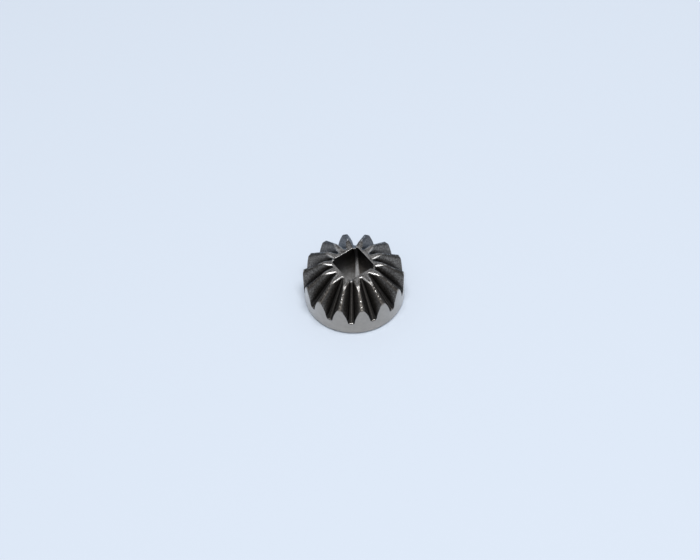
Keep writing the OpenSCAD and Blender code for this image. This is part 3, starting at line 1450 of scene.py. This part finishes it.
@dataclass(frozen=True)
class SteelFinish:
    """One finish of the steel.

    Attributes:
        name: Name of the material.
        dark: Colour of the low spots.
        light: Colour of the high spots.
        bright: Colour where the surface is rubbed, and of the painted highlights.
        rough: Roughness at the low and at the high spots.
        rubbed_and_highlit_rough: Roughness where the surface is rubbed or carries a painted highlight.
        fine: Scale of the fine grain, in grains a metre.
        coarse: Scale of the coarse grain.
        line: Scale of the lathe lines, or 0 for none.
        grain_depth: Depth of the grain, in millimetres.
        line_depth: Depth of the lathe lines, in millimetres.
        glint: How far grains that catch the light are brightened.
        shelf: Shared effects.
        painted_shade_colour: Colour of the painted shade.
        painted_shade_share: How much of a surface under full painted shade takes that colour.
        edge_tint: Colour of the surface when seen along it, as a share of its own.
        oil: Share of the surface under a film of oil.
        line_share: Share of the lathe lines in the tone, where there are any.
    """

    name: str
    dark: Colour
    light: Colour
    bright: Colour
    rough: tuple[float, float]
    rubbed_and_highlit_rough: float
    fine: float
    coarse: float
    line: float
    grain_depth: float
    line_depth: float
    glint: float
    shelf: EffectShelf
    painted_shade_colour: Colour = (0.025, 0.024, 0.023)
    painted_shade_share: float = 0.95
    edge_tint: Colour = (1.0, 1.0, 1.0)
    oil: float = 0.0
    line_share: float = 0.5

    def group(self, nodes: Nodes, effect: Effect, **values: float) -> bpy.types.Node:
        """Places a shared effect in the material.

        Args:
            nodes: Nodes of the material.
            effect: The effect.
            **values: Values of its inputs.

        Returns:
            The group node.
        """
        node = nodes.add("ShaderNodeGroup", node_tree=self.shelf.get(effect))
        for name, value in values.items():
            node.inputs[name].default_value = value
        return node

    def material(self) -> bpy.types.Material:
        """Makes the material.

        Returns:
            The material.
        """
        material = bpy.data.materials.new(self.name)
        material.use_nodes = True
        nodes = Nodes(material.node_tree)
        shader = material.node_tree.nodes["Principled BSDF"]
        shader.inputs["Metallic"].default_value = 1.0
        shader.inputs["Specular Tint"].default_value = (*self.edge_tint, 1.0)
        shader.inputs["Coat Weight"].default_value = self.oil
        shader.inputs["Coat Roughness"].default_value = self.rubbed_and_highlit_rough
        grain = self.group(nodes, Effect.GRAIN, Fine=self.fine, Coarse=self.coarse)
        rubbed = self.group(nodes, Effect.RUBBED).outputs["Mask"]
        tone = grain.outputs["Tone"]
        height = nodes.math("MULTIPLY", grain.outputs["Height"], self.grain_depth * MM)
        if self.line:
            lines = self.group(nodes, Effect.LINES, Scale=self.line).outputs["Tone"]
            tone = nodes.weighed(tone, 1.0 - self.line_share, lines, self.line_share)
            height = nodes.math("ADD", height, nodes.math("MULTIPLY", lines, self.line_depth * MM))
        colour = nodes.mix(tone, self.dark, self.light)
        colour = nodes.mix(nodes.math("MULTIPLY", grain.outputs["Glint"], self.glint), colour, self.bright)
        # Painted shade: the attribute darkens the colour toward the painted shade colour.
        painted_shade = nodes.add("ShaderNodeAttribute", attribute_name=PAINTED_SHADE).outputs["Fac"]
        colour = nodes.mix(nodes.math("MULTIPLY", painted_shade, self.painted_shade_share, clamp=True), colour, self.painted_shade_colour)
        # Rubbed edges and painted highlights turn the colour bright.
        nodes.join(nodes.mix(rubbed, colour, self.bright), shader.inputs["Base Color"])
        rough = nodes.spread(tone, 0.0, 1.0, *self.rough)
        worn = nodes.math("MULTIPLY", rubbed, nodes.math("SUBTRACT", self.rubbed_and_highlit_rough, rough))
        nodes.join(nodes.math("ADD", rough, worn), shader.inputs["Roughness"])
        bump = nodes.add("ShaderNodeBump")
        bump.inputs["Distance"].default_value = 1.0
        nodes.join(height, bump.inputs["Height"])
        nodes.join(bump.outputs["Normal"], shader.inputs["Normal"])
        return material


def steel_finishes() -> dict[Finish, SteelFinish]:
    """Gives the steel of each finish.

    Returns:
        The finishes, by the bands that take them.
    """
    shelf = EffectShelf()
    # Colour of rubbed edges and of painted highlights.
    bright = (0.66, 0.655, 0.65)
    return {
        Finish.TURNED: SteelFinish(
            "turned steel",
            dark=(0.29, 0.261, 0.226), light=(0.38, 0.342, 0.3), bright=(0.5, 0.475, 0.44),
            rough=(0.34, 0.28), rubbed_and_highlit_rough=0.3, fine=15000.0, coarse=2500.0, line=22000.0,
            grain_depth=0.0006, line_depth=0.0012, glint=0.0, shelf=shelf, oil=1.0,
        ),
        Finish.TOOTH: SteelFinish(
            "dark tooth steel",
            dark=(0.098, 0.089, 0.08), light=(0.258, 0.238, 0.217), bright=bright,
            rough=(0.46, 0.33), rubbed_and_highlit_rough=0.25, fine=16000.0, coarse=6000.0, line=0.0,
            grain_depth=0.009, line_depth=0.0, glint=0.35, shelf=shelf, edge_tint=(0.58, 0.63, 0.7),
        ),
        Finish.END: SteelFinish(
            "grained end steel",
            dark=(0.08, 0.078, 0.077), light=(0.395, 0.388, 0.384), bright=bright,
            rough=(0.5, 0.36), rubbed_and_highlit_rough=0.25, fine=13000.0, coarse=4200.0, line=0.0,
            grain_depth=0.016, line_depth=0.0, glint=0.8, shelf=shelf,
        ),
        Finish.HOLE: SteelFinish(
            "broached hole steel",
            dark=(0.285, 0.258, 0.229), light=(0.41, 0.374, 0.333), bright=(0.61, 0.562, 0.51),
            rough=(0.46, 0.38), rubbed_and_highlit_rough=0.36, fine=12000.0, coarse=3500.0, line=0.0,
            grain_depth=0.002, line_depth=0.0, glint=0.0, shelf=shelf, edge_tint=(0.66, 0.64, 0.63),
        ),
    }


@dataclass
class Studio:
    """Plain pale floor, soft light from above and the camera.

    Attributes:
        floor_r: Radius of the floor.
        floor_sides: Number of its sides.
        floor_gap: Gap between the floor and the gear.
        floor_colour: Colour of the floor.
        floor_rough: Roughness of the floor.
        floor_gloss: Strength of its reflections.
        key_size: Width of the key light.
        key_distance: Distance of the key light from the gear.
        key_elevation: Angle of the key light above the floor.
        key_power: Power of the key light, in watts.
        key_side: How far the key light stands to the right, as a share of its way toward the camera.
        sky_low: Colour of the sky near the floor.
        sky_high: Colour of the sky overhead.
        sky_range: Heights between which the one turns into the other, as sines.
        horizon: Colour in which the camera and the reflections see the sky near the floor.
        horizon_range: Heights over which that fades, as sines.
        eye: Place of the camera.
        forward: Direction that it looks in.
        right: Direction to the right in the picture.
        lens: Focal length.
        sensor: Width of the sensor.
        clip: Nearest and farthest distance that the camera sees.
    """

    floor_r: float = 450.0
    floor_sides: int = 128
    floor_gap: float = 0.01
    floor_colour: Colour = (0.7, 0.775, 0.882)
    floor_rough: float = 0.9
    floor_gloss: float = 0.1
    key_size: float = 260.0
    key_distance: float = 500.0
    key_elevation: float = math.radians(79.0)
    key_power: float = 1.9
    key_side: float = 0.3
    sky_low: Colour = (0.085, 0.085, 0.086)
    sky_high: Colour = (0.45, 0.455, 0.465)
    sky_range: tuple[float, float] = (0.1, 0.9)
    horizon: Colour = (0.62, 0.71, 0.82)
    horizon_range: tuple[float, float] = (0.12, 0.2)
    eye: Place = (-48.4869, -74.0059, 114.2669)
    forward: Place = (0.337525, 0.519978, -0.784665)
    right: Place = (0.813952, -0.579925, -0.034179)
    lens: float = 73.9255
    sensor: float = 36.0
    clip: tuple[float, float] = (1.0, 10000.0)

    def build_floor(self) -> bpy.types.Object:
        """Lays the floor just under the gear.

        Returns:
            The floor.
        """
        bm = bmesh.new()
        bmesh.ops.create_circle(bm, cap_ends=True, segments=self.floor_sides, radius=self.floor_r * MM)
        bmesh.ops.translate(bm, vec=(0.0, 0.0, -self.floor_gap * MM), verts=bm.verts)
        mesh = bpy.data.meshes.new("floor")
        bm.to_mesh(mesh)
        bm.free()
        floor = bpy.data.objects.new("floor", mesh)
        bpy.context.collection.objects.link(floor)
        material = bpy.data.materials.new("pale floor")
        material.use_nodes = True
        shader = material.node_tree.nodes["Principled BSDF"]
        shader.inputs["Base Color"].default_value = (*self.floor_colour, 1.0)
        shader.inputs["Roughness"].default_value = self.floor_rough
        shader.inputs["Specular IOR Level"].default_value = self.floor_gloss
        mesh.materials.append(material)
        return floor

    def build_key(self) -> None:
        """Hangs the soft key light over the gear, a little to the camera's side."""
        data = bpy.data.lights.new("key", "AREA")
        data.shape, data.size, data.energy = "SQUARE", self.key_size * MM, self.key_power
        key = bpy.data.objects.new("key", data)
        bpy.context.collection.objects.link(key)
        ahead = Vector((self.eye[0], self.eye[1], 0.0)).normalized()
        aside = Vector((self.right[0], self.right[1], 0.0)).normalized()
        flat = (ahead + aside * self.key_side).normalized() * math.cos(self.key_elevation)
        toward = Vector((flat.x, flat.y, math.sin(self.key_elevation)))
        key.location = toward * self.key_distance * MM
        key.rotation_mode = "QUATERNION"
        key.rotation_quaternion = toward.to_track_quat("Z", "Y")

    def build_sky(self) -> None:
        """Sets the sky, which the camera and the reflections see as more floor near the horizon."""
        world = bpy.data.worlds.new("studio")
        bpy.context.scene.world = world
        world.use_nodes = True
        nodes = Nodes(world.node_tree)
        parts = nodes.add("ShaderNodeSeparateXYZ")
        nodes.join(nodes.add("ShaderNodeTexCoord").outputs["Generated"], parts.inputs[0])
        height = parts.outputs["Z"]
        sky = nodes.mix(nodes.spread(height, *self.sky_range), self.sky_low, self.sky_high)
        path = nodes.add("ShaderNodeLightPath").outputs
        seen = nodes.math("ADD", path["Is Camera Ray"], path["Is Glossy Ray"])
        seen = nodes.math("ADD", seen, path["Is Transmission Ray"], clamp=True)
        low = nodes.math("MULTIPLY", seen, nodes.spread(height, *self.horizon_range, to_low=1.0, to_high=0.0))
        nodes.join(nodes.mix(low, sky, self.horizon), world.node_tree.nodes["Background"].inputs["Color"])

    def build_camera(self) -> None:
        """Sets up the camera at the photograph's viewing angle."""
        data = bpy.data.cameras.new("camera")
        data.lens, data.sensor_width, data.sensor_fit = self.lens, self.sensor, "HORIZONTAL"
        data.clip_start, data.clip_end = (distance * MM for distance in self.clip)
        camera = bpy.data.objects.new("camera", data)
        bpy.context.collection.objects.link(camera)
        right, back = Vector(self.right), -Vector(self.forward)
        up = back.cross(right)
        turn = Matrix((right, up, back)).transposed().to_4x4()
        camera.matrix_world = Matrix.Translation(Vector(self.eye) * MM) @ turn
        bpy.context.scene.camera = camera

    def build(self) -> None:
        """Builds the whole studio."""
        self.build_floor()
        self.build_key()
        self.build_sky()
        self.build_camera()
        bpy.context.scene.view_settings.view_transform = "Standard"


def main() -> None:
    """Builds the studio and the gear, and reports each piece."""
    logging.basicConfig(level=logging.INFO, format="%(name)s: %(message)s")
    Studio().build()
    LOG.info("studio: floor, key light, sky and camera")
    body = GearBody()
    gear = body.build()
    LOG.info("gear: %d vertices, %d faces", len(gear.data.vertices), len(gear.data.polygons))
    body.dress(gear, steel_finishes())
    LOG.info("finishes: %s", ", ".join(material.name for material in gear.data.materials))


if __name__ == "__main__":
    main()
